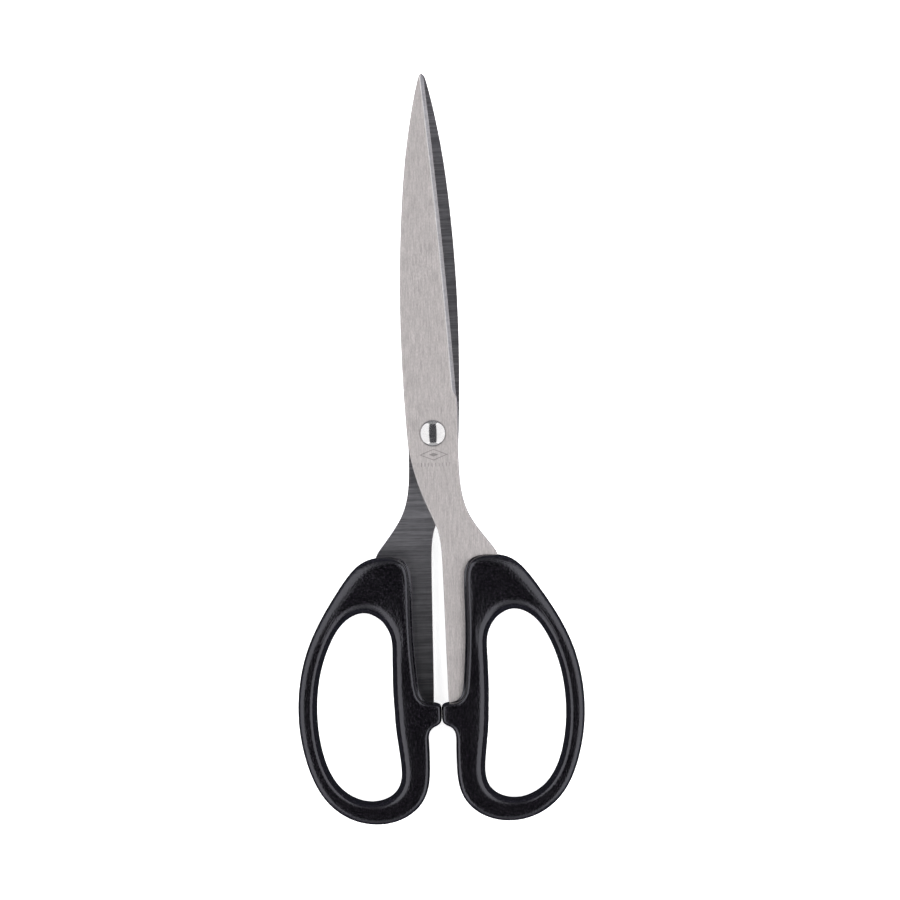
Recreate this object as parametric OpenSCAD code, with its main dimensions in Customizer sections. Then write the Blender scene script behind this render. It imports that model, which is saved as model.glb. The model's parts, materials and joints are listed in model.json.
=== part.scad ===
// Fabric shears: two stamped stainless halves turning on a domed rivet,
// each with a black plastic bow moulded over its tang.
// Millimetres. The shears lie flat and closed: +Y points to the tip, +X to the
// right-hand bow and +Z up. The frame's origin is under the middle of the outline.

/* [Blades] */
// Reach of the tip in front of the pivot
tip_reach = 101.3; // [98:0.1:110]
// Thickness of the stamped sheet
sheet = 1.8; // [1.2:0.1:2.5]
// Running gap between the two mating faces
mating_gap = 0.1; // [0.04:0.02:0.2]
// Bow of the cutting edge over its chord
edge_bow = 0.5; // [0.3:0.05:0.9]
// Width of the ground bevel seen from above
bevel_width = 1; // [0.8:0.05:1.4]
// Flat left standing under the bevel at the cutting edge
edge_land = 0.1; // [0.05:0.05:0.3]
// Depth of the hollow grind behind the pivot end of the edge
hollow_depth = 0.25; // [0.1:0.05:0.4]
// Radius of the hollow grind
hollow_radius = 60; // [40:5:100]

/* [Bows] */
// Thickness of the plastic bows
bow_thickness = 10; // [8:0.5:12]
// Tilt of the rounded shoulders where they leave the walls
shoulder_tilt = 35; // [30:1:38]
// Width of the finger hole's drafted wall seen from above
hole_wall = 1.15; // [0.9:0.05:1.3]
// Reach of the step where the plastic runs onto the tang
lip_reach = 0.75; // [0.4:0.05:0.9]
// Height of that step over the steel
lip_rise = 1.55; // [1.2:0.05:1.7]
// Half the gap between the two closing stops
stop_gap = 0.1; // [0.1:0.05:0.3]

/* [Pivot] */
// Radius of the domed head
head_radius = 3.65; // [3:0.05:4.5]
// Height of the dome over its rim
dome_height = 0.9; // [0.6:0.1:1.2]
// Height of the straight rim of the head
rim_height = 0.2; // [0.1:0.05:0.4]
// Radius of the shank
shank_radius = 2.4; // [2:0.1:3]
// Running clearance of the front half on the shank
running_fit = 0.05; // [0.02:0.01:0.1]
// Thickness of the spring washer's sheet
spring_sheet = 0.25; // [0.2:0.05:0.4]
// Dish of the spring washer
spring_dish = 0.2; // [0.1:0.05:0.3]
// Thickness of the burr under the peened tail
burr_thickness = 0.6; // [0.4:0.1:1]
// Height of the peened tail
tail_height = 0.6; // [0.4:0.1:0.8]

/* [Hidden] */

steel = [0.72, 0.71, 0.7];
dark_steel = [0.42, 0.41, 0.42];
bright_steel = [0.86, 0.86, 0.88];
black_plastic = [0.09, 0.09, 0.1];

round_fn = 96;
arc_fn = 720;
face_crown = 0.22;
crown_reach = 10;
curve_steps = 6;
rib_steps = 4;
shoulder_steps = 3;
overcut = 1;

inner_face = mating_gap / 2;
outer_face = inner_face + sheet;
half_bow = bow_thickness / 2;
lip_height = outer_face + lip_rise;

// Outlines of the front half, measured from the pivot. The rear half is the
// same shape turned over about the long axis.

// Spine side, from the tip down to the inner edge of the tang
spine = [
  [0.05, tip_reach], [-0.55, tip_reach - 0.2], [-1.05, tip_reach - 1.2],
  [-1.75, tip_reach - 4], [-2.95, 92], [-4.2, 85], [-5.65, 76],
  [-7.15, 60], [-8, 44], [-8.25, 28], [-7.9, 12], [-7.4, 2], [-7.15, -4], [-5.9, -10],
  [-3.8, -17], [-0.9, -23.5], [0.9, -28], [1.45, -33], [1.6, -42], [1.8, -58], [2, -76]
];

// Part of the tang that is buried in the bow
buried_tang = [
  [2.4, -78.6], [3.6, -79.6], [9, -79.6], [10.2, -78.6], [10.7, -70], [10.9, -58],
  [11.4, -50], [14, -43], [17.6, -38]
];

// Waist side, from the bow up to the end of the cutting edge
edge_heel = [6.85, 10.6];
waist = [
  [17.6, -34.5], [15.6, -31.8], [12.3, -27.6], [8.9, -22.5], [7.3, -16], [6.95, -8],
  [7.1, 2], [7.2, 8.8], edge_heel
];

// The cutting edge is one long arc from the heel to the tip
edge_tip = [0.5, tip_reach - 0.8];
edge_chord = norm(edge_tip - edge_heel);
edge_radius = edge_chord * edge_chord / (8 * edge_bow) + edge_bow / 2;
edge_middle = (edge_tip + edge_heel) / 2;
edge_square = [edge_heel[1] - edge_tip[1], edge_tip[0] - edge_heel[0]] / edge_chord;
edge_centre = edge_middle + edge_square * (edge_radius - edge_bow);
heel_arm = edge_heel - edge_centre;
tip_arm = edge_tip - edge_centre;
heel_angle = atan2(heel_arm[1], heel_arm[0]);
tip_angle = atan2(tip_arm[1], tip_arm[0]);
run_out_angle = -50;

// Holes in the tang that the plastic fills: place and radius
anchor_holes = [[[13.2, -41], 1.9], [[9.1, -57], 0.9], [[6.4, -77.4], 1]];

// Hollow grind: it fades out towards the tip
hollow_heel = [-0.5, 12];
hollow_end = [-1, 94];

// Ribs of a bow, clockwise from the corner beside the tang. Each row holds the
// outer outline's point, the finger hole's point, the width of the shoulder along
// the outside, the width of the shoulder along the hole, and how much lip there is.
// The rows near x = stop_gap go round the closing stop.
ribs = [
  [7.2, -37.7, 15.5, -52.7, 0.7, 1.9, 0.9],
  [10.2, -34.5, 17.8, -51, 1.3, 2.3, 0.4],
  [15.6, -34.3, 20.2, -49.9, 2.2, 2.4, 0],
  [20.6, -35.1, 22.9, -50.1, 2.6, 2, 0],
  [24.4, -38.2, 25.7, -51.4, 2.5, 1.6, 0],
  [28.2, -43.5, 28.6, -54.2, 2.1, 1.2, 0],
  [33.4, -51.4, 31.3, -59.1, 1.6, 1, 0],
  [37.9, -60.6, 33.6, -65.4, 1.35, 0.9, 0],
  [40.2, -71, 35, -73, 1.25, 0.9, 0],
  [40.5, -82, 35.1, -82.5, 1.25, 0.9, 0],
  [38.1, -93.8, 33.2, -92.5, 1.2, 0.9, 0],
  [33.5, -103.3, 29.1, -99.8, 1.2, 0.9, 0],
  [25.2, -109.1, 22.4, -103.3, 1.15, 1, 0],
  [15.4, -109.9, 16.6, -102.8, 1.1, 1.1, 0],
  [7.8, -106.4, 12.7, -100.2, 1, 1.3, 0],
  [3.9, -100.4, 11.5, -95.8, 0.8, 1.4, 0],
  [3.7, -92, 12.2, -90, 0.7, 1.45, 0],
  [3.8, -87, 12.6, -86.4, 0.65, 1.45, 0],
  [3.9, -84.6, 12.9, -84.3, 0.6, 1.45, 0],
  [2.9, -82.7, 13, -82.8, 0.55, 1.45, 0],
  [1, -82.1, 13.1, -81.7, 0.5, 1.45, 0],
  [stop_gap, -81, 13.2, -80.6, 0.5, 1.45, 0],
  [stop_gap, -79.4, 13.2, -79.4, 0.5, 1.45, 0],
  [stop_gap, -77.8, 13.3, -78, 0.5, 1.45, 0],
  [stop_gap, -76.4, 13.3, -76.7, 0.5, 1.45, 0],
  [1.6, -75.7, 13.4, -75.7, 0.5, 1.45, 0],
  [4.4, -75.5, 13.4, -74.6, 0.55, 1.45, 0.5],
  [6.2, -73.4, 13.5, -73, 0.6, 1.45, 1],
  [6.6, -68, 13.5, -69, 0.6, 1.45, 1],
  [7.4, -58, 13.4, -62, 0.6, 1.4, 1],
  [7.4, -46, 13.2, -57, 0.6, 1.5, 1]
];

// Smooth curves through a few guide points (cubic B-spline)
function spline_point(a, b, c, d, t) =
  (pow(1 - t, 3) * a + (3 * pow(t, 3) - 6 * pow(t, 2) + 4) * b
    + (-3 * pow(t, 3) + 3 * pow(t, 2) + 3 * t + 1) * c + pow(t, 3) * d) / 6;

function closed_curve(guides, steps) = let (count = len(guides)) [
  for (i = [0:count - 1], k = [0:steps - 1])
    spline_point(
      guides[i], guides[(i + 1) % count], guides[(i + 2) % count], guides[(i + 3) % count], k / steps
    )
];

function open_curve(guides, steps) =
  let (
    last = len(guides) - 1,
    before = 2 * guides[0] - guides[1],
    after = 2 * guides[last] - guides[last - 1],
    long = concat([before], guides, [after])
  )
  concat(
    [for (i = [0:last - 1], k = [0:steps - 1])
      spline_point(long[i], long[i + 1], long[i + 2], long[i + 3], k / steps)],
    [guides[last]]
  );

// Outline of a half before its edge is ground
blank_outline = concat(
  open_curve(spine, curve_steps),
  buried_tang,
  open_curve(waist, curve_steps),
  [edge_heel + [1.2, 4], edge_middle + [2.5, 0], edge_tip + [0.5, 0.2]]
);

// Sides of a bow's section, from the middle plane up to its face, as [distance from
// the outline or the finger hole, height]
function outer_start(width, lip) = lip * lip_reach + 0.45 + 0.15 * width;

function hole_start(width) = hole_wall + 0.15 * width;

// A shoulder lies over ever flatter until it meets the crowned face
function shoulder(width, start, flat, crown) =
  let (
    rest = atan(4 * crown / flat),
    radius = width / (sin(shoulder_tilt) - sin(rest))
  )
  [for (k = [0:shoulder_steps]) let (a = shoulder_tilt + (rest - shoulder_tilt) * k / shoulder_steps)
    [start + radius * (sin(shoulder_tilt) - sin(a)), half_bow - crown - radius * (cos(rest) - cos(a))]];

function outer_side(width, lip, flat, crown) =
  let (
    lip_end = lip * lip_reach,
    start = outer_start(width, lip),
    turn = shoulder(width, start, flat, crown),
    wall_foot = 2.7 + lip * (lip_height - 2.66)
  )
  concat(
    [
      [0, 0],
      [0, 1.9 + lip * (lip_height - 2)],
      [0.02 + 0.2 * lip, 2.3 + lip * (lip_height - 2.3)],
      [lip_end + 0.03, wall_foot],
      [lip_end + 0.03 + 0.3 * (start - lip_end), (wall_foot + turn[0][1]) / 2 + 0.05]
    ],
    turn
  );

function hole_side(width, flat, crown) =
  let (start = hole_start(width), turn = shoulder(width, start, flat, crown))
  concat([[0, 0], [start / 2 - 0.1, 0.7 * turn[0][1]]], turn);

// Unit vector square to the curve at one of its points, to the right of its run
function right_of(before, after) =
  let (run = after - before)
  [run[1], -run[0]] / norm(run);

// One closed loop of points round the bow's section at a rib
function rib_loop(i) =
  let (
    count = len(rib_rows),
    before = rib_rows[(i + count - 1) % count],
    rib = rib_rows[i],
    after = rib_rows[(i + 1) % count],
    start = [rib[0], rib[1]],
    finish = [rib[2], rib[3]],
    lip = min(1, rib[6]),
    inward = right_of([before[0], before[1]], [after[0], after[1]]),
    outward = -right_of([before[2], before[3]], [after[2], after[3]]),
    used = outer_start(rib[4], lip) + rib[4] + hole_start(rib[5]) + rib[5],
    flat = max(0.3, norm(finish - start) - used),
    crown = face_crown * (1 - exp(-pow(flat / crown_reach, 2))),
    outer = [for (p = outer_side(rib[4], lip, flat, crown)) concat(start + inward * p[0], [p[1]])],
    hole = [for (p = hole_side(rib[5], flat, crown)) concat(finish + outward * p[0], [p[1]])],
    outer_last = outer[len(outer) - 1],
    hole_last = hole[len(hole) - 1],
    face = [for (share = [0.35, 0.65]) let (place = outer_last + (hole_last - outer_last) * share)
      [place[0], place[1], half_bow]],
    upper = concat(outer, face, [for (k = [len(hole) - 1:-1:0]) hole[k]])
  )
  concat(upper, [for (k = [len(upper) - 2:-1:1]) [upper[k][0], upper[k][1], -upper[k][2]]]);

rib_rows = closed_curve(ribs, rib_steps);
loops = [for (i = [0:len(rib_rows) - 1]) rib_loop(i)];

// The outline decides where the pivot stands over the middle of the frame
heel_reach = min([for (rib = rib_rows) rib[1]]);
pivot_y = -(tip_reach + heel_reach) / 2;

module bow_body() {
  loop_count = len(loops);
  loop_size = len(loops[0]);
  points = [for (loop = loops) each loop];
  faces = [
    for (i = [0:loop_count - 1], k = [0:loop_size - 1])
      let (
        next_loop = (i + 1) % loop_count,
        next_point = (k + 1) % loop_size,
        a = i * loop_size + k,
        b = i * loop_size + next_point,
        c = next_loop * loop_size + next_point,
        d = next_loop * loop_size + k
      )
      each [[a, b, c], [a, c, d]]
  ];
  polyhedron(points, faces, convexity = 10);
}

// The sheet as stamped, with the anchor holes but no grinding
module blank() {
  translate([0, 0, inner_face])
    difference() {
      linear_extrude(sheet)
        polygon(blank_outline);
      for (hole = anchor_holes)
        translate([hole[0][0], hole[0][1], -overcut])
          cylinder(r = hole[1], h = sheet + 2 * overcut, $fn = round_fn);
    }
}

// Everything outside the edge arc
module edge_trim() {
  translate([edge_centre[0], edge_centre[1], inner_face - overcut])
    rotate([0, 0, heel_angle])
      rotate_extrude(angle = tip_angle - heel_angle + 0.2, $fn = arc_fn)
        translate([edge_radius, 0])
          square([3 * bevel_width, sheet + 2 * overcut]);
}

// The ground bevel, which runs out in a slanting shoulder at the heel
module edge_bevel() {
  slope = bevel_width / (sheet - edge_land);
  difference() {
    translate([edge_centre[0], edge_centre[1], inner_face])
      rotate([0, 0, heel_angle])
        rotate_extrude(angle = tip_angle - heel_angle + 0.2, $fn = arc_fn)
          polygon([
            [edge_radius, edge_land],
            [edge_radius + 2 * bevel_width, edge_land],
            [edge_radius + 2 * bevel_width, sheet + overcut],
            [edge_radius - bevel_width - slope * overcut, sheet + overcut]
          ]);
    translate([edge_heel[0], edge_heel[1], inner_face])
      rotate([0, 0, run_out_angle])
        translate([-10, -10, -overcut])
          cube([20, 10, sheet + 3 * overcut]);
  }
}

// The hollow grind on the mating face
module hollow_grind() {
  run = hollow_end - hollow_heel;
  length = norm(run);
  translate([hollow_heel[0], hollow_heel[1], inner_face + hollow_depth - hollow_radius])
    rotate([0, 0, atan2(run[1], run[0]) - 90])
      rotate([-90 - atan2(hollow_depth, length), 0, 0])
        cylinder(r = hollow_radius, h = length + 5, $fn = arc_fn);
}

module half_blade(bore) {
  difference() {
    blank();
    edge_trim();
    edge_bevel();
    hollow_grind();
    translate([0, 0, -overcut])
      cylinder(r = bore, h = sheet + 3 * overcut, $fn = round_fn);
  }
}

module half_handle() {
  difference() {
    bow_body();
    blank();
  }
}

// Places a part of the front half in the frame
module in_place() {
  translate([0, pivot_y, half_bow])
    children();
}

// Places the same part turned over about the long axis, for the rear half
module turned_over() {
  in_place()
    rotate([0, 180, 0])
      children();
}

module front_blade() {
  color(steel)
    in_place()
      half_blade(shank_radius + running_fit);
}

module rear_blade() {
  color(dark_steel)
    turned_over()
      half_blade(shank_radius);
}

module right_handle() {
  color(black_plastic)
    in_place()
      half_handle();
}

module left_handle() {
  color(black_plastic)
    turned_over()
      half_handle();
}

// Stack under the rear half, going down
spring_top = -outer_face;
burr_top = spring_top - spring_sheet - spring_dish;
tail_top = burr_top - burr_thickness;
head_seat = outer_face + mating_gap / 2;

module pivot_rivet() {
  dome_radius = (head_radius * head_radius + dome_height * dome_height) / (2 * dome_height);
  color(bright_steel)
    in_place() {
      translate([0, 0, tail_top])
        cylinder(r = shank_radius, h = head_seat - tail_top, $fn = round_fn);
      translate([0, 0, head_seat])
        cylinder(r = head_radius, h = rim_height, $fn = round_fn);
      translate([0, 0, head_seat + rim_height])
        intersection() {
          translate([0, 0, dome_height - dome_radius])
            sphere(r = dome_radius, $fn = round_fn);
          cylinder(r = head_radius, h = dome_height, $fn = round_fn);
        }
      translate([0, 0, tail_top - tail_height])
        cylinder(r1 = shank_radius + 0.3, r2 = shank_radius + 0.7, h = tail_height, $fn = round_fn);
    }
}

module spring_washer() {
  outer_radius = shank_radius + 2.6;
  color(bright_steel)
    in_place()
      rotate_extrude($fn = round_fn)
        polygon([
          [shank_radius, burr_top],
          [outer_radius, spring_top - spring_sheet],
          [outer_radius, spring_top],
          [shank_radius, burr_top + spring_sheet]
        ]);
}

module rivet_burr() {
  color(bright_steel)
    in_place()
      translate([0, 0, tail_top])
        difference() {
          cylinder(r = shank_radius + 1.5, h = burr_thickness, $fn = round_fn);
          translate([0, 0, -overcut])
            cylinder(r = shank_radius, h = burr_thickness + 2 * overcut, $fn = round_fn);
        }
}

rear_blade();
front_blade();
left_handle();
right_handle();
pivot_rivet();
spring_washer();
rivet_burr();
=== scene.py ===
"""Fabric shears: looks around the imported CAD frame. Metres, +Y to the tip, +Z up."""
import json
import math

import bpy
import numpy as np
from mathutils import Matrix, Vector


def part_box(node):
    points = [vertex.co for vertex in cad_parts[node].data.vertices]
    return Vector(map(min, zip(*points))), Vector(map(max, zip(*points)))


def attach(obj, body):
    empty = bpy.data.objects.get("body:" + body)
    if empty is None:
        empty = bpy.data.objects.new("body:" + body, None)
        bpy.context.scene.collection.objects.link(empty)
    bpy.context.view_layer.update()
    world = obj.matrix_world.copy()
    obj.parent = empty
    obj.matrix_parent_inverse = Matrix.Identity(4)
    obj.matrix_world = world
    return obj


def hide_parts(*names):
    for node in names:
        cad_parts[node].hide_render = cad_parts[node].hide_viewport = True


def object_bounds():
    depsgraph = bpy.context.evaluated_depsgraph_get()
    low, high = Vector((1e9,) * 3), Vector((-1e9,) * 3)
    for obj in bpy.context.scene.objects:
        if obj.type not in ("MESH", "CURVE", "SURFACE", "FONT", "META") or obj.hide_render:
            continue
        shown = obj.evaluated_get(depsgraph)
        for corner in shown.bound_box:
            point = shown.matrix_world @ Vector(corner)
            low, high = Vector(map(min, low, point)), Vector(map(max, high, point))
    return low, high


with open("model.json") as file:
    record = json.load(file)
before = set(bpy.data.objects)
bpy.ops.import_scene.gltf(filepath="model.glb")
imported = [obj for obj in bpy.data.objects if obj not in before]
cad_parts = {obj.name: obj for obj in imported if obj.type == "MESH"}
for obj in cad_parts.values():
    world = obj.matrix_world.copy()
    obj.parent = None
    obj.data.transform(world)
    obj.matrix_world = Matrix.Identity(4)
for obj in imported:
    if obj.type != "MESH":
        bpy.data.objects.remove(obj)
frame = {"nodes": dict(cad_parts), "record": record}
cad_bounds = [list(corner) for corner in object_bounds()]

MM = 0.001
PIVOT_JOINT = next(j for j in frame["record"]["behaviour"]["joints"] if j["name"] == "blade_pivot")
PIVOT = np.array(PIVOT_JOINT["pos_m"])


def box(node):
    low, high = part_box(node)
    return np.array(low), np.array(high)


# Driving dimensions, from the frame. Heights are over the mating plane, in millimetres.
BOW_LOW, BOW_HIGH = box("right_handle")
BLADE_LOW, BLADE_HIGH = box("front_blade")
RIVET_LOW, RIVET_HIGH = box("pivot_rivet")
HALF_BOW = (BOW_HIGH[2] - BOW_LOW[2]) / 2 / MM
INNER_FACE = (BLADE_LOW[2] - PIVOT[2]) / MM
OUTER_FACE = (BLADE_HIGH[2] - PIVOT[2]) / MM
TIP_REACH = (BLADE_HIGH[1] - PIVOT[1]) / MM
HEAD_RADIUS = (RIVET_HIGH[0] - RIVET_LOW[0]) / 2 / MM
HEAD_TOP = (RIVET_HIGH[2] - PIVOT[2]) / MM
TAIL_BOTTOM = (RIVET_LOW[2] - PIVOT[2]) / MM

# ---------------------------------------------------------------- curves


def spline_points(guides, steps, closed):
    """Cubic B-spline through the neighbourhood of a few guide points, as in the CAD."""
    guides = np.array(guides, float)
    if closed:
        rows = np.vstack([guides, guides[:3]])
    else:
        rows = np.vstack([2 * guides[0] - guides[1], guides, 2 * guides[-1] - guides[-2]])
    t = (np.arange(steps) / steps)[:, None]
    weights = (
        (1 - t) ** 3 / 6,
        (3 * t**3 - 6 * t**2 + 4) / 6,
        (-3 * t**3 + 3 * t**2 + 3 * t + 1) / 6,
        t**3 / 6,
    )
    spans = [sum(w * rows[i + k] for k, w in enumerate(weights)) for i in range(len(rows) - 3)]
    if not closed:
        spans.append(guides[-1:])
    return np.vstack(spans)


def bezier(p0, p1, p2, p3, t):
    """Cubic Bezier between four points that may be arrays of points."""
    return (1 - t) ** 3 * p0 + 3 * (1 - t) ** 2 * t * p1 + 3 * (1 - t) * t**2 * p2 + t**3 * p3


def smooth_step(x, low, high):
    t = np.clip((x - low) / (high - low), 0, 1)
    return t * t * (3 - 2 * t)


# ---------------------------------------------------------------- outlines (mm from the pivot)

# The front half. The rear half is the same shape turned over about the long axis.
TANG_END = -79.6
SPINE = [
    (0.05, TIP_REACH), (-0.55, TIP_REACH - 0.2), (-1.05, TIP_REACH - 1.2),
    (-1.75, TIP_REACH - 4), (-2.95, 92), (-4.2, 85), (-5.65, 76),
    (-7.15, 60), (-8, 44), (-8.25, 28), (-7.9, 12), (-7.4, 2), (-7.15, -4), (-5.9, -10),
    (-3.8, -17), (-0.9, -23.5), (0.9, -28), (1.45, -33), (1.6, -42), (1.8, -58), (2, -76),
    (2.4, -78.6), (3.2, TANG_END),
]
EDGE_HEEL = np.array([6.85, 10.6])
EDGE_TIP = np.array([0.5, TIP_REACH - 0.8])
EDGE_BOW = 0.5
TIP_ROUND = 0.6
BEVEL_WIDTH = 1.0
EDGE_LAND = 0.1
HOLLOW_DEPTH = 0.25
HOLLOW_END = 94
HOLLOW_FADE = 82
WAIST = [
    (9, TANG_END), (10.2, -78.6), (10.7, -70), (10.9, -58), (11.4, -50), (14, -43), (17.6, -38),
    (17.6, -34.5), (15.6, -31.8), (12.3, -27.6), (8.9, -22.5), (7.3, -16), (6.95, -8), (7.1, 2),
    (7.2, 8.8), tuple(EDGE_HEEL),
]

# Ribs of a bow, clockwise from the corner beside the tang: outline point, finger hole point,
# width of the shoulder along the outside, width of the shoulder along the hole, lip.
STOP_GAP = 0.02
RIBS = [
    (7.2, -37.7, 15.5, -52.7, 0.7, 1.9, 0.9),
    (10.2, -34.5, 17.8, -51, 1.3, 2.3, 0.4),
    (15.6, -34.3, 20.2, -49.9, 2.2, 2.4, 0),
    (20.6, -35.1, 22.9, -50.1, 2.6, 2, 0),
    (24.4, -38.2, 25.7, -51.4, 2.5, 1.6, 0),
    (28.2, -43.5, 28.6, -54.2, 2.1, 1.2, 0),
    (33.4, -51.4, 31.3, -59.1, 1.6, 1, 0),
    (37.9, -60.6, 33.6, -65.4, 1.35, 0.9, 0),
    (40.2, -71, 35, -73, 1.25, 0.9, 0),
    (40.5, -82, 35.1, -82.5, 1.25, 0.9, 0),
    (38.1, -93.8, 33.2, -92.5, 1.2, 0.9, 0),
    (33.5, -103.3, 29.1, -99.8, 1.2, 0.9, 0),
    (25.2, -109.1, 22.4, -103.3, 1.15, 1, 0),
    (15.4, -109.9, 16.6, -102.8, 1.1, 1.1, 0),
    (7.8, -106.4, 12.7, -100.2, 1, 1.3, 0),
    (3.9, -100.4, 11.5, -95.8, 0.8, 1.4, 0),
    (3.7, -92, 12.2, -90, 0.7, 1.45, 0),
    (3.8, -87, 12.6, -86.4, 0.65, 1.45, 0),
    (3.9, -84.6, 12.9, -84.3, 0.6, 1.45, 0),
    (2.9, -82.7, 13, -82.8, 0.55, 1.45, 0),
    (1, -82.1, 13.1, -81.7, 0.5, 1.45, 0),
    (STOP_GAP, -81, 13.2, -80.6, 0.5, 1.45, 0),
    (STOP_GAP, -79.4, 13.2, -79.4, 0.5, 1.45, 0),
    (STOP_GAP, -77.8, 13.3, -78, 0.5, 1.45, 0),
    (STOP_GAP, -76.4, 13.3, -76.7, 0.5, 1.45, 0),
    (1.6, -75.7, 13.4, -75.7, 0.5, 1.45, 0),
    (4.4, -75.5, 13.4, -74.6, 0.55, 1.45, 0.5),
    (6.2, -73.4, 13.5, -73, 0.6, 1.45, 1),
    (6.6, -68, 13.5, -69, 0.6, 1.45, 1),
    (7.4, -58, 13.4, -62, 0.6, 1.4, 1),
    (7.4, -46, 13.2, -57, 0.6, 1.5, 1),
]

# ---------------------------------------------------------------- meshes


def place(points, turned):
    """Pivot-centred millimetres to frame metres; turned is the rear half."""
    points = np.array(points, float)
    if turned:
        points = points * (-1, 1, -1)
    return points * MM + PIVOT


def grid_faces(rows, columns, close_rows, close_columns):
    faces = []
    for i in range(rows if close_rows else rows - 1):
        for k in range(columns if close_columns else columns - 1):
            a = i * columns + k
            b = i * columns + (k + 1) % columns
            c = (i + 1) % rows * columns + (k + 1) % columns
            d = (i + 1) % rows * columns + k
            faces.append((a, b, c, d))
    return faces


def make_piece(name, points, faces, materials, slots=None, uv=None):
    """A smooth-shaded mesh object with outward normals."""
    mesh = bpy.data.meshes.new(name)
    mesh.from_pydata([tuple(p) for p in points], [], faces)
    for material in materials:
        mesh.materials.append(material)
    if slots is not None:
        mesh.polygons.foreach_set("material_index", slots)
    mesh.polygons.foreach_set("use_smooth", [True] * len(mesh.polygons))
    if uv is not None:
        layer = mesh.uv_layers.new(name="grain")
        corners = np.zeros(len(mesh.loops), int)
        mesh.loops.foreach_get("vertex_index", corners)
        layer.data.foreach_set("uv", np.array(uv)[corners].ravel())
    mesh.validate()
    volume = signed_volume(points, faces)
    if volume < 0:
        mesh.flip_normals()
    mesh.update()
    piece = bpy.data.objects.new(name, mesh)
    bpy.context.collection.objects.link(piece)
    return piece


def signed_volume(points, faces):
    points = np.array(points)
    total = 0.0
    for face in faces:
        for second, third in zip(face[1:-1], face[2:]):
            total += np.dot(points[face[0]], np.cross(points[second], points[third]))
    return total / 6


# ---------------------------------------------------------------- blades

# Radii of the outer and the inner corners, and the width of the crown over the bevel line
SECTION_ROUND = 0.3
INNER_ROUND = 0.06
CROWN_WIDTH = 0.55

# Which material a stretch of the section has
OUTER, BEVEL, MATING = 0, 1, 2


def edge_x(y):
    """The cutting edge: one long arc from the heel to the tip."""
    chord = np.linalg.norm(EDGE_TIP - EDGE_HEEL)
    radius = chord**2 / (8 * EDGE_BOW) + EDGE_BOW / 2
    along = (EDGE_TIP - EDGE_HEEL) / chord
    middle = (EDGE_TIP + EDGE_HEEL) / 2
    centre = middle + np.array([-along[1], along[0]]) * (radius - EDGE_BOW)
    return centre[0] + np.sqrt(radius**2 - (y - centre[1]) ** 2)


def blade_stations():
    """Where the blade is cut across: close together at the tip, the heel and the tang's end."""
    heel = EDGE_HEEL[1]
    tang_corner = TANG_END + 1.2
    point_length = 4
    return np.concatenate([
        np.linspace(TANG_END, tang_corner, 7)[:-1],
        np.arange(tang_corner, -6, 0.8),
        np.arange(-6, heel - 0.6, 0.6),
        np.arange(heel - 0.6, heel + 2, 0.08),
        np.arange(heel + 2, TIP_REACH - point_length, 0.8),
        TIP_REACH - point_length * (1 - np.sin(np.linspace(0, math.pi / 2, 28))),
    ])


def blade_section(y, left, right):
    """Points round one cut across the blade, and the material of the stretch after each."""
    heel = EDGE_HEEL[1]
    width = max(right - left, 1e-3)
    soft = min(SECTION_ROUND, width / 4)
    inner_soft = min(INNER_ROUND, width / 8)
    bevel = BEVEL_WIDTH * float(smooth_step(y, heel - 0.4, heel + 1.8))
    bevel = min(max(bevel, soft), width - 1.6 * soft)
    drop = float(smooth_step(y, heel - 0.2, heel + 0.2))
    foot = (1 - drop) * (OUTER_FACE - soft) + drop * (INNER_FACE + EDGE_LAND)
    points, slots = [], []

    def add(x, z, slot):
        points.append((x, y, z))
        slots.append(slot)

    # Spine wall and its rounded corners
    add(left + inner_soft, INNER_FACE, OUTER)
    add(left + 0.3 * inner_soft, INNER_FACE + 0.3 * inner_soft, OUTER)
    add(left, INNER_FACE + inner_soft, OUTER)
    for k in range(5):
        a = math.radians(90 * k / 4)
        add(left + soft * (1 - math.cos(a)), OUTER_FACE - soft * (1 - math.sin(a)), OUTER)
    # Outer face
    crown = min(soft + (CROWN_WIDTH - SECTION_ROUND) * drop, bevel)
    face_start = left + soft
    face_end = max(right - bevel - crown / 2, face_start)
    for k in range(1, 8):
        add(face_start + (face_end - face_start) * k / 7, OUTER_FACE, OUTER)
    # Crown of the bevel line, ground with the bevel, or of the waist's brushed corner
    slope = (OUTER_FACE - foot) / bevel
    for k in range(1, 5):
        t = k / 4
        add(face_end + crown * t, OUTER_FACE - slope * crown * t * t / 2, BEVEL if y > heel else OUTER)
    crown_x, crown_z = face_end + crown, OUTER_FACE - slope * crown / 2
    # Bevel, down to the land
    for k in range(1, 5):
        t = k / 4
        add(crown_x + (right - crown_x) * t, crown_z + (foot - crown_z) * t, BEVEL)
    add(right, INNER_FACE + 0.5 * inner_soft, BEVEL)
    add(right - 0.5 * inner_soft, INNER_FACE, MATING)
    # Mating face with its hollow grind
    fade = np.clip((HOLLOW_END - y) / HOLLOW_FADE, 0, 1) * float(smooth_step(y, heel + 1, heel + 4))
    start, end = right - inner_soft, left + 1.5 * inner_soft
    for t in np.linspace(0, 1, 13):
        rise = HOLLOW_DEPTH * fade * (1 - (2 * t - 1) ** 2)
        add(start + (end - start) * t, INNER_FACE + rise, MATING)
    if y > TIP_REACH - 1e-6:
        points = [(left, y, z) for _, _, z in points]
    return points, slots


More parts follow.
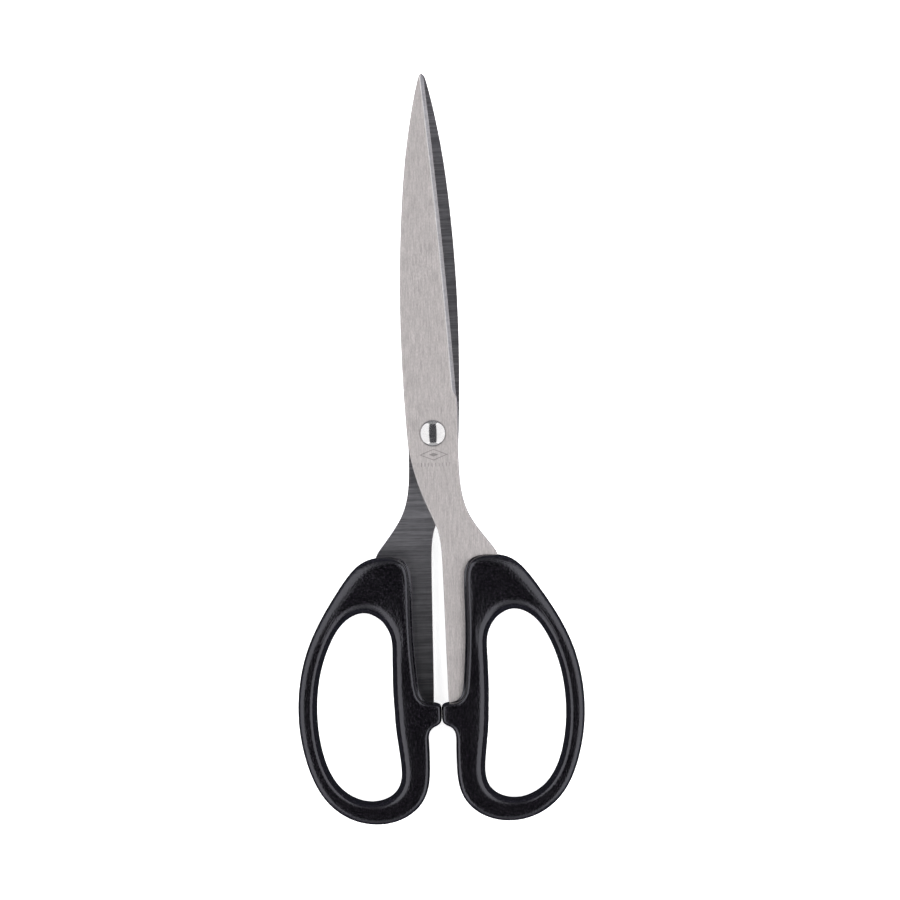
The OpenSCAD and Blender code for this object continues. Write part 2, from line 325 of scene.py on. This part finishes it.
def build_blade(name, body, node, turned, materials):
    spine = spline_points(SPINE, 12, closed=False)[::-1]
    waist = spline_points(WAIST, 12, closed=False)
    tip_x = SPINE[0][0]
    rings, slots = [], []
    for y in blade_stations():
        left = np.interp(y, spine[:, 1], spine[:, 0])
        right = np.interp(y, waist[:, 1], waist[:, 0]) if y < EDGE_HEEL[1] else edge_x(y)
        into_round = min(max((y - TIP_REACH) / TIP_ROUND + 1, 0), 1)
        right = tip_x + (right - tip_x) * math.sqrt(1 - into_round * into_round)
        ring, ring_slots = blade_section(y, float(left), float(right))
        rings.append(ring)
        slots.append(ring_slots)
    columns = len(rings[0])
    points = np.array([point for ring in rings for point in ring])
    faces = grid_faces(len(rings), columns, False, True)
    face_slots = [slot for ring_slots in slots[:-1] for slot in ring_slots]
    faces.append(tuple(range(columns)))
    faces.append(tuple(range((len(rings) - 1) * columns, len(rings) * columns))[::-1])
    face_slots += [OUTER, OUTER]
    uv = points[:, :2] / 100
    piece = make_piece(name, place(points, turned), faces, materials, face_slots, uv)
    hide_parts(node)
    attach(piece, body)
    return piece


# ---------------------------------------------------------------- bows

# The step where the plastic runs onto the tang
LIP_REACH = 0.75
LIP_TOP = 3.4
# Width of the drafted walls seen from above, and how much wider a wide shoulder makes them
OUTER_WALL = 0.45
HOLE_WALL = 1.15
WALL_PER_WIDTH = 0.15
SHOULDER_TILT = math.radians(35)
# Height of the face's crown on a wide bow, and the width over which it grows
FACE_CROWN = 0.22
CROWN_REACH = 10


def shoulder(width, start, flat, crown, steps):
    """From the steep wall's top to the crowned face: distances and heights, one column per rib."""
    rest = np.arctan(4 * crown / flat)
    angle = rest + (SHOULDER_TILT - rest) * (1 - np.linspace(0, 1, steps))[:, None]
    radius = width / (math.sin(SHOULDER_TILT) - np.sin(rest))
    distance = start + radius * (math.sin(SHOULDER_TILT) - np.sin(angle))
    height = HALF_BOW - crown - radius * (np.cos(rest) - np.cos(angle))
    return distance, height


def outer_profile(width, lip, flat, crown):
    """Outside of a bow, from the parting line to its face, as distances and heights.

    lip goes from 0, a plain wall, to 1, the step where the plastic runs onto the tang.
    """
    base = lip * LIP_REACH
    lip_points = np.array([
        (0, 0), (0, 1.9), (0, LIP_TOP - 0.12), (0.03, LIP_TOP - 0.04), (0.08, LIP_TOP - 0.005),
        (0.13, LIP_TOP), (LIP_REACH - 0.07, LIP_TOP), (LIP_REACH - 0.01, LIP_TOP),
    ])
    plain_points = np.array([
        (0, 0), (0, 0.6), (0, 1.1), (0.003, 1.5), (0.006, 1.8), (0.01, 2.1), (0.014, 2.4),
        (0.02, 2.6),
    ])
    distance = lip_points[:, :1] * lip + plain_points[:, :1] * (1 - lip)
    height = lip_points[:, 1:] * lip + plain_points[:, 1:] * (1 - lip)
    start = outer_start(width, lip)
    turn_d, turn_z = shoulder(width, start, flat, crown, 9)
    top = turn_z[0]
    pull = (start - base) * 0.55
    t = np.linspace(0, 1, 9)[:, None]
    tilt = math.tan(SHOULDER_TILT)
    wall_foot = 2.7 + lip * (LIP_TOP - 2.66)
    wall_d = bezier(base + 0.03 - 0.02 * lip, base + 0.05 + 0.1 * lip, start - pull, start, t)
    wall_z = bezier(wall_foot, wall_foot + 0.4, top - pull * tilt, top, t)
    return np.vstack([distance, wall_d, turn_d[1:]]), np.vstack([height, wall_z, turn_z[1:]])


def outer_start(width, lip):
    """How far in from the outline the shoulder starts."""
    return lip * LIP_REACH + OUTER_WALL + WALL_PER_WIDTH * width


def hole_start(width):
    """How far from the finger hole's edge its shoulder starts."""
    return HOLE_WALL + WALL_PER_WIDTH * width


def hole_profile(width, flat, crown):
    """Finger hole side of a bow, from the parting line to its face, as distances and heights."""
    start = hole_start(width)
    turn_d, turn_z = shoulder(width, start, flat, crown, 11)
    top = turn_z[0]
    pull = 0.4 + 0.05 * width
    t = np.linspace(0, 1, 13)[:, None]
    tilt = math.tan(SHOULDER_TILT)
    wall_d = bezier(0 * width, 0.15 + 0 * width, start - pull, start, t)
    wall_z = bezier(0 * width, 0.6 * top, top - pull * tilt, top, t)
    return np.vstack([wall_d, turn_d[1:]]), np.vstack([wall_z, turn_z[1:]])


def side_normals(outline, turn):
    """Unit normals of a closed outline; turn is -1 for its right-hand side, 1 for its left."""
    along = np.roll(outline, -1, 0) - np.roll(outline, 1, 0)
    along /= np.linalg.norm(along, axis=1)[:, None]
    return np.stack([-along[:, 1], along[:, 0]], 1) * turn


def build_bow(name, body, node, turned, material):
    rows = spline_points(RIBS, 12, closed=True)
    outline, hole = rows[:, :2], rows[:, 2:4]
    outer_width, hole_width, lip = rows[:, 4], rows[:, 5], np.clip(rows[:, 6], 0, 1)
    inward = side_normals(outline, -1)
    outward = side_normals(hole, 1)
    across = np.linalg.norm(hole - outline, axis=1)
    flat = across - outer_start(outer_width, lip) - outer_width - hole_start(hole_width) - hole_width
    flat = np.maximum(flat, 0.3)
    crown = FACE_CROWN * (1 - np.exp(-((flat / CROWN_REACH) ** 2)))
    outer_d, outer_z = outer_profile(outer_width, lip, flat, crown)
    hole_d, hole_z = hole_profile(hole_width, flat, crown)
    levels, heights = [], []
    for d, z in zip(outer_d, outer_z):
        levels.append(outline + inward * d[:, None])
        heights.append(z)
    flat_start = levels[-1]
    flat_end = hole + outward * hole_d[-1][:, None]
    for share in np.linspace(0, 1, 9)[1:-1]:
        levels.append(flat_start + (flat_end - flat_start) * share)
        heights.append(HALF_BOW - crown * (2 * share - 1) ** 2)
    for d, z in zip(hole_d[::-1], hole_z[::-1]):
        levels.append(hole + outward * d[:, None])
        heights.append(z)
    upper = np.stack([np.column_stack([p, z]) for p, z in zip(levels, heights)])
    lower = upper[-2:0:-1] * (1, 1, -1)
    loop = np.vstack([upper, lower])
    points = loop.transpose(1, 0, 2).reshape(-1, 3)
    faces = grid_faces(len(rows), len(loop), True, True)
    piece = make_piece(name, place(points, turned), faces, [material])
    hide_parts(node)
    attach(piece, body)
    return piece


# ---------------------------------------------------------------- rivet


HEAD_GAP = 0.05
RIM_HEIGHT = 0.2
HEAD_CHAMFER = 0.2
SHANK_RADIUS = 2.4
# Peened tail: radius and height over its lowest point
TAIL = [
    (2.75, 0.6), (3.0, 0.35), (3.02, 0.2), (2.85, 0.06), (2.5, 0), (1.6, 0), (1.3, 0.12), (0.6, 0.2),
]
TAIL_DIMPLE = 0.22


def rivet_profile():
    """Radius and height of the head, the shank and the tail, from the top of the dome down."""
    seat = OUTER_FACE + HEAD_GAP
    dome_height = HEAD_TOP - seat - RIM_HEIGHT
    dome_radius = (HEAD_RADIUS**2 + dome_height**2) / (2 * dome_height)
    dome_angle = math.asin((HEAD_RADIUS - HEAD_CHAMFER) / dome_radius)
    profile = []
    for k in range(1, 33):
        a = dome_angle * k / 32
        profile.append((dome_radius * math.sin(a), HEAD_TOP - dome_radius * (1 - math.cos(a))))
    edge_top = profile[-1][1]
    profile += [
        (HEAD_RADIUS - 0.8 * HEAD_CHAMFER, edge_top - 0.05),
        (HEAD_RADIUS - 0.1 * HEAD_CHAMFER, seat + 0.12),
        (HEAD_RADIUS, seat + 0.08), (HEAD_RADIUS, seat + 0.03), (HEAD_RADIUS - 0.03, seat),
        (SHANK_RADIUS + 0.05, seat), (SHANK_RADIUS, seat - 0.05), (SHANK_RADIUS, TAIL_BOTTOM + 0.65),
    ]
    return profile + [(radius, TAIL_BOTTOM + height) for radius, height in TAIL]


def build_rivet(name, body, node, material):
    """The rivet, turned as one profile."""
    profile = rivet_profile()
    count = 128
    points = []
    for radius, z in profile:
        for k in range(count):
            a = 2 * math.pi * k / count
            points.append((radius * math.cos(a), radius * math.sin(a), z))
    faces = grid_faces(len(profile), count, False, True)
    top, bottom = len(points), len(points) + 1
    points += [(0, 0, HEAD_TOP), (0, 0, TAIL_BOTTOM + TAIL_DIMPLE)]
    last = (len(profile) - 1) * count
    for k in range(count):
        faces.append((k, top, (k + 1) % count))
        faces.append((last + (k + 1) % count, bottom, last + k))
    piece = make_piece(name, place(points, False), faces, [material])
    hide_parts(node)
    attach(piece, body)
    return piece


# ---------------------------------------------------------------- materials


class Nodes:
    """A short way to write a material's node tree."""

    def __init__(self, name):
        self.material = bpy.data.materials.new(name)
        self.material.use_nodes = True
        self.tree = self.material.node_tree
        self.shader = self.tree.nodes["Principled BSDF"]

    def add(self, kind, values=None, **settings):
        node = self.tree.nodes.new(kind)
        for key, value in settings.items():
            setattr(node, key, value)
        for key, value in (values or {}).items():
            self.put(node.inputs[key], value)
        return node

    def put(self, socket, value):
        if isinstance(value, bpy.types.NodeSocket):
            self.tree.links.new(value, socket)
        else:
            socket.default_value = value

    def math(self, operation, a, b=0.0, clamp=False):
        return self.add("ShaderNodeMath", {0: a, 1: b}, operation=operation, use_clamp=clamp).outputs[0]

    def place(self):
        return self.add("ShaderNodeTexCoord").outputs["Object"]

    def noise(self, scale, detail=3.0, roughness=0.55, seed=0.0):
        """Noise over the object's own place, stretched by a scale per metre on each axis."""
        mapping = self.add(
            "ShaderNodeMapping", {"Vector": self.place(), "Scale": scale, "Location": (seed, seed, seed)}
        )
        texture = self.add(
            "ShaderNodeTexNoise",
            {"Vector": mapping.outputs[0], "Scale": 1.0, "Detail": detail, "Roughness": roughness},
        )
        return texture.outputs["Fac"]

    def spread(self, value, low, high, to_low, to_high):
        """Stretches a value's range."""
        node = self.add(
            "ShaderNodeMapRange",
            {"Value": value, "From Min": low, "From Max": high, "To Min": to_low, "To Max": to_high},
        )
        return node.outputs["Result"]

    def vary(self, noise, to_low, to_high):
        """Stretches the range where most of a noise lies."""
        return self.spread(noise, 0.3, 0.7, to_low, to_high)

    def mix(self, share, a, b):
        node = self.add("ShaderNodeMix", data_type="RGBA")
        self.put(node.inputs["Factor"], share)
        self.put(node.inputs["A"], a)
        self.put(node.inputs["B"], b)
        return node.outputs["Result"]

    def bump(self, height, distance, strength=1.0, under=None):
        values = {"Height": height, "Distance": distance, "Strength": strength}
        if under is not None:
            values["Normal"] = under
        return self.add("ShaderNodeBump", values).outputs[0]

    def set(self, **values):
        for key, value in values.items():
            self.put(self.shader.inputs[key.replace("_", " ").title().replace("Ior", "IOR")], value)


def steel(name, grain, fine, tone, rough, anisotropy, turn, relief=0.5, cut=0.36, mark_and_seat_shade=False, painted_tang_shade=False):
    """Brushed or ground stainless.

    grain and fine are noise scales per metre on x, y and z; tone is its dark and light colour.
    turn is how far the brushing is turned from the blade's length, in whole turns. cut is the
    noise level at which a streak starts: higher leaves fewer, thinner streaks.
    """
    m = Nodes(name)
    streaks = m.noise(grain, detail=4.0, roughness=0.6)
    threads = m.noise(fine, detail=2.0, roughness=0.5, seed=3.0)
    clouds = m.noise((420, 140, 300), detail=3.0, roughness=0.6, seed=7.0)
    dark, light = tone
    colour = m.mix(m.spread(streaks, cut, cut + 0.28, 0, 1), dark, light)
    shade = m.vary(clouds, 0.95, 1.04)
    shade = m.math("MULTIPLY", shade, m.vary(threads, 0.9, 1.1))
    # The etched mark, and painted shade round the rivet's seat
    if mark_and_seat_shade:
        shade = m.math("MULTIPLY", shade, m.spread(lozenge_ticks_and_seat_shade(m), 0, 1, 1, MARK_AND_SEAT_SHADE_TONE))
    # Painted shade along the mating face, darkest between the bows
    if painted_tang_shade:
        shade = m.math("MULTIPLY", shade, painted_shade_along_tang(m))
    tinted = m.add("ShaderNodeVectorMath", {0: colour}, operation="SCALE")
    m.put(tinted.inputs["Scale"], shade)
    m.set(
        base_color=tinted.outputs[0],
        metallic=1.0,
        anisotropic=anisotropy,
        anisotropic_rotation=turn,
    )
    m.put(m.shader.inputs["Roughness"], m.spread(streaks, 0.25, 0.75, rough - 0.04, rough + 0.05))
    normal = m.bump(threads, 0.000004, relief, m.bump(streaks, 0.00001, relief))
    m.put(m.shader.inputs["Normal"], normal)
    tangent = m.add("ShaderNodeTangent", direction_type="UV_MAP", uv_map="grain")
    m.put(m.shader.inputs["Tangent"], tangent.outputs[0])
    return m.material


# Painted shade on the mating face, darkest between the bows and towards the tang's end, brighter behind the
# pivot: distance from the pivot in millimetres, and tone
MATING_PAINTED_SHADE = [
    (-80, 0.2), (-68, 0.27), (-50, 0.45), (-35, 0.63), (-29, 0.98), (-19, 0.98), (-13, 0.72),
    (20, 0.62), (40, 0.62), (100, 0.85),
]


def painted_shade_along_tang(m):
    """Painted shade on the mating face: dull in the shade between the bows and towards the tang's end,
    brighter behind the pivot.
    """
    y = m.add("ShaderNodeSeparateXYZ", {0: m.place()}).outputs[1]
    first, last = MATING_PAINTED_SHADE[0][0], MATING_PAINTED_SHADE[-1][0]
    start, end = float(PIVOT[1]) + first * MM, float(PIVOT[1]) + last * MM
    ramp = m.add("ShaderNodeValToRGB", {0: m.spread(y, start, end, 0, 1)})
    fill_ramp(ramp, [((at - first) / (last - first), (tone, tone, tone, 1)) for at, tone in MATING_PAINTED_SHADE])
    return ramp.outputs[0]


def fill_ramp(ramp, stops):
    """Sets a ramp's stops, of which it has two to start with."""
    elements = ramp.color_ramp.elements
    for k, (position, colour) in enumerate(stops):
        stop = elements[k] if k < 2 else elements.new(position)
        stop.position = position
        stop.color = colour


# The etched mark and the painted shade ring round the rivet's seat: distances behind the pivot and sizes,
# in millimetres
MARK_AND_SEAT_SHADE_TONE = 0.56
LOZENGE_BACK = 6.0
LOZENGE_REACH = 1.5
LOZENGE_LINE = 0.18
LOZENGE_FLATNESS = 0.4
CORE_REACH = 0.62
TICKS_BACK = 8.8
TICKS_HALF_LENGTH = 0.6
TICKS_HALF_SPAN = 4.6
TICK_LINE = 0.16
TICK_HALF_PITCH = 0.5
# Width of the ring of painted shade round the rivet head
SEAT_SHADE_LINE = 0.28


def lozenge_ticks_and_seat_shade(m):
    """1 where the face is etched, a plain lozenge over a row of ticks, and 0.5 in a ring of painted shade
    round the rivet's seat.
    """
    split = m.add("ShaderNodeSeparateXYZ", {0: m.place()})
    x = m.math("MULTIPLY", m.math("SUBTRACT", split.outputs[0], float(PIVOT[0])), 1 / MM)
    y = m.math("MULTIPLY", m.math("SUBTRACT", split.outputs[1], float(PIVOT[1])), 1 / MM)

    def line(distance, half_width):
        inside = m.math("SUBTRACT", half_width, m.math("ABSOLUTE", distance))
        return m.math("MULTIPLY", inside, 7.0, True)

    slant = m.math("ABSOLUTE", m.math("MULTIPLY", x, LOZENGE_FLATNESS))
    reach = m.math("ADD", slant, m.math("ABSOLUTE", m.math("ADD", y, LOZENGE_BACK)))
    ring = line(m.math("SUBTRACT", reach, LOZENGE_REACH), LOZENGE_LINE)
    core = m.math("MULTIPLY", m.math("SUBTRACT", CORE_REACH, reach), 6.0, True)
    # PINGPONG folds x into half a pitch; the shift keeps it positive all along the row
    tick = m.math("PINGPONG", m.math("ADD", x, 20.0), TICK_HALF_PITCH)
    tick = line(m.math("SUBTRACT", tick, TICK_HALF_PITCH), TICK_LINE)
    row = line(m.math("ADD", y, TICKS_BACK), TICKS_HALF_LENGTH)
    ticks = m.math("MULTIPLY", m.math("MULTIPLY", tick, row), line(x, TICKS_HALF_SPAN))
    from_pivot = m.math("SQRT", m.math("ADD", m.math("MULTIPLY", x, x), m.math("MULTIPLY", y, y)))
    # Painted shade: a thin dark ring on the face just outside the rivet head
    seat = m.math("MULTIPLY", line(m.math("SUBTRACT", from_pivot, HEAD_RADIUS), SEAT_SHADE_LINE), 0.5)
    return m.math("MAXIMUM", seat, m.math("MAXIMUM", m.math("MAXIMUM", ring, core), ticks))


def moulded_plastic(name):
    """Black plastic with the fine pebbled grain of a spark-eroded mould."""
    m = Nodes(name)
    pebbles = m.noise((1800, 1800, 1800), detail=2.0, roughness=0.6)
    fine = m.noise((5200, 5200, 5200), detail=1.0, seed=5.0)
    soft = m.noise((160, 160, 160), detail=2.0, seed=9.0)
    colour = m.mix(
        m.spread(pebbles, 0.46, 0.72, 0, 1), (0.0001, 0.0001, 0.0001, 1), (0.0066, 0.0046, 0.0076, 1)
    )
    m.set(base_color=colour, specular_ior_level=0.6, specular_tint=(0.9, 0.9, 1, 1))
    rough = m.math("ADD", m.vary(pebbles, 0.15, 0.21), m.vary(soft, -0.02, 0.02))
    m.put(m.shader.inputs["Roughness"], rough)
    m.put(m.shader.inputs["Normal"], m.bump(fine, 0.00001, 0.6, m.bump(pebbles, 0.0001, 0.8)))
    return m.material


def polished_steel(name, light, rough, metallic):
    """Turned and polished steel; light is how much it reflects."""
    m = Nodes(name)
    wear = m.noise((900, 900, 900), detail=3.0)
    scratches = m.noise((5000, 300, 300), detail=2.0, seed=2.0)
    dark, pale = 0.96 * light, 1.04 * light
    warm = 0.985
    colour = m.mix(
        m.vary(wear, 0, 1), (dark, dark * warm, dark * warm, 1), (pale, pale * warm, pale * warm, 1)
    )
    m.set(base_color=colour, metallic=metallic)
    m.put(m.shader.inputs["Roughness"], m.vary(scratches, rough, rough + 0.05))
    m.put(m.shader.inputs["Normal"], m.bump(scratches, 0.000002, 0.3))
    return m.material


def floor_paper(name):
    m = Nodes(name)
    fibres = m.noise((400, 400, 400), detail=3.0)
    colour = m.mix(fibres, (0.93, 0.93, 0.93, 1), (0.96, 0.96, 0.96, 1))
    m.set(base_color=colour, roughness=0.9, specular_ior_level=0.1)
    m.set(emission_color=(1, 1, 1, 1), emission_strength=0.75)
    m.material.cycles.emission_sampling = "NONE"
    return m.material


# ---------------------------------------------------------------- the shears

# The outside is brushed along the blade; the bevel and the mating face are ground across it
brushed = {
    "grain": (2800, 240, 300),
    "fine": (3600, 1500, 900),
    "tone": ((0.385, 0.361, 0.356, 1), (0.503, 0.471, 0.465, 1)),
    "rough": 0.44,
    "anisotropy": 0.8,
    "turn": 0.0,
}
outer_steel = steel("outer_brushed", **brushed)
# Carries the etched mark and a ring of painted shade round the rivet
marked_and_shaded_steel = steel("outer_brushed_marked_seat_shade", **brushed, mark_and_seat_shade=True)
bevel_steel = steel(
    "bevel_ground",
    grain=(900, 900, 300),
    fine=(400, 7000, 900),
    tone=((0.62, 0.605, 0.6, 1), (0.74, 0.725, 0.72, 1)),
    rough=0.64,
    anisotropy=0.3,
    turn=0.25,
)
inner_steel = steel(
    "mating_ground",
    grain=(60, 2500, 300),
    fine=(450, 3600, 900),
    tone=((0.5, 0.49, 0.505, 1), (0.78, 0.764, 0.787, 1)),
    rough=0.34,
    anisotropy=0.85,
    turn=0.25,
    relief=0.08,
    cut=0.4,
    # painted shade along the tang, darkest between the bows
    painted_tang_shade=True,
)
bow_plastic = moulded_plastic("bow_plastic_grain")
rivet_steel = polished_steel("rivet_polished", light=0.42, rough=0.07, metallic=0.94)
washer_steel = polished_steel("washer_plain", light=0.5, rough=0.3, metallic=1.0)

upper_steels = [marked_and_shaded_steel, bevel_steel, inner_steel]
lower_steels = [outer_steel, bevel_steel, inner_steel]
build_blade("upper_blade", "front_half", "front_blade", turned=False, materials=upper_steels)
build_blade("lower_blade", "rear_half", "rear_blade", turned=True, materials=lower_steels)
build_bow("right_bow", "front_half", "right_handle", turned=False, material=bow_plastic)
build_bow("left_bow", "rear_half", "left_handle", turned=True, material=bow_plastic)
build_rivet("domed_rivet", "rear_half", "pivot_rivet", rivet_steel)
for node in ("spring_washer", "rivet_burr"):
    kept = frame["nodes"][node]
    kept.data.materials.clear()
    kept.data.materials.append(washer_steel)

# ---------------------------------------------------------------- stage, light and camera


def studio_sweep():
    """A floor that curves up into a pale backdrop all round, clear of the lights."""
    radius, bend, height = 3.0, 1.0, 4.0
    profile = []
    for k in range(13):
        a = math.radians(90 * k / 12)
        profile.append((radius + bend * math.sin(a), bend * (1 - math.cos(a))))
    profile.append((radius + bend, height))
    count = 96
    ground = cad_bounds[0][2] - 0.02 * MM
    points = []
    for reach, rise in profile:
        for k in range(count):
            a = 2 * math.pi * k / count
            points.append((reach * math.cos(a), reach * math.sin(a), ground + rise))
    faces = [tuple(range(count))]
    faces += [face[::-1] for face in grid_faces(len(profile), count, False, True)]
    mesh = bpy.data.meshes.new("floor")
    mesh.from_pydata(points, [], faces)
    mesh.materials.append(floor_paper("pale_paper"))
    mesh.polygons.foreach_set("use_smooth", [False] + [True] * (len(mesh.polygons) - 1))
    sweep = bpy.data.objects.new("floor", mesh)
    sweep.visible_glossy = False
    bpy.context.collection.objects.link(sweep)


def softbox(name, place_at, size, glow):
    """A softbox facing the pivot; glow is its brightness in watts per square metre and steradian."""
    light = bpy.data.lights.new(name, "AREA")
    light.shape = "RECTANGLE"
    light.size, light.size_y = size
    light.energy = glow * math.pi * size[0] * size[1]
    lamp = bpy.data.objects.new(name, light)
    lamp.location = place_at
    aim = Vector((0, PIVOT[1], 0)) - Vector(place_at)
    lamp.rotation_euler = aim.to_track_quat("-Z", "Y").to_euler()
    lamp.visible_camera = False
    bpy.context.collection.objects.link(lamp)
    return lamp


# Sky tones from straight down (0) to straight up (1): a pale horizon under a dark ceiling
SKY_TONES = [(0.0, 0.03), (0.2, 0.07), (0.32, 0.26), (0.55, 0.24), (0.7, 0.06), (1.0, 0.034)]


def studio_sky():
    world = bpy.data.worlds.new("studio")
    world.use_nodes = True
    bpy.context.scene.world = world
    sky = world.node_tree
    direction = sky.nodes.new("ShaderNodeTexCoord")
    split = sky.nodes.new("ShaderNodeSeparateXYZ")
    sky.links.new(direction.outputs["Generated"], split.inputs[0])
    height = sky.nodes.new("ShaderNodeMapRange")
    height.inputs["From Min"].default_value = -1.0
    sky.links.new(split.outputs[2], height.inputs["Value"])
    ramp = sky.nodes.new("ShaderNodeValToRGB")
    fill_ramp(ramp, [(at, (tone * 0.96, tone, tone * 1.3, 1)) for at, tone in SKY_TONES])
    sky.links.new(height.outputs["Result"], ramp.inputs[0])
    sky.links.new(ramp.outputs[0], sky.nodes["Background"].inputs["Color"])


# The camera looks straight down, from a little to the right of the pivot and behind it
CAMERA_HEIGHT = 1.1
CAMERA_RIGHT = 0.00468
CAMERA_BACK = 0.00484
CAMERA_ROLL = -1.83
FIELD_WIDTH = 0.2533


def add_camera():
    camera_data = bpy.data.cameras.new("camera")
    camera_data.sensor_width = 36
    camera_data.lens = camera_data.sensor_width * (CAMERA_HEIGHT - PIVOT[2]) / FIELD_WIDTH
    camera = bpy.data.objects.new("camera", camera_data)
    camera.location = (CAMERA_RIGHT, PIVOT[1] - CAMERA_BACK, CAMERA_HEIGHT)
    camera.rotation_euler = (0, 0, math.radians(CAMERA_ROLL))
    bpy.context.collection.objects.link(camera)
    bpy.context.scene.camera = camera


studio_sweep()
softbox("left_softbox", (-0.64, PIVOT[1], 0.64), (1.7, 1.0), 2.0)
softbox("right_softbox", (0.64, PIVOT[1], 0.64), (1.7, 1.0), 2.0)
softbox("front_softbox", (0, -0.9, 0.66), (0.9, 0.6), 0.9)
softbox("back_softbox", (0, 0.9, 0.66), (0.9, 0.6), 0.45)

studio_sky()
add_camera()

scene = bpy.context.scene
scene.view_settings.view_transform = "Standard"
scene.view_settings.look = "None"
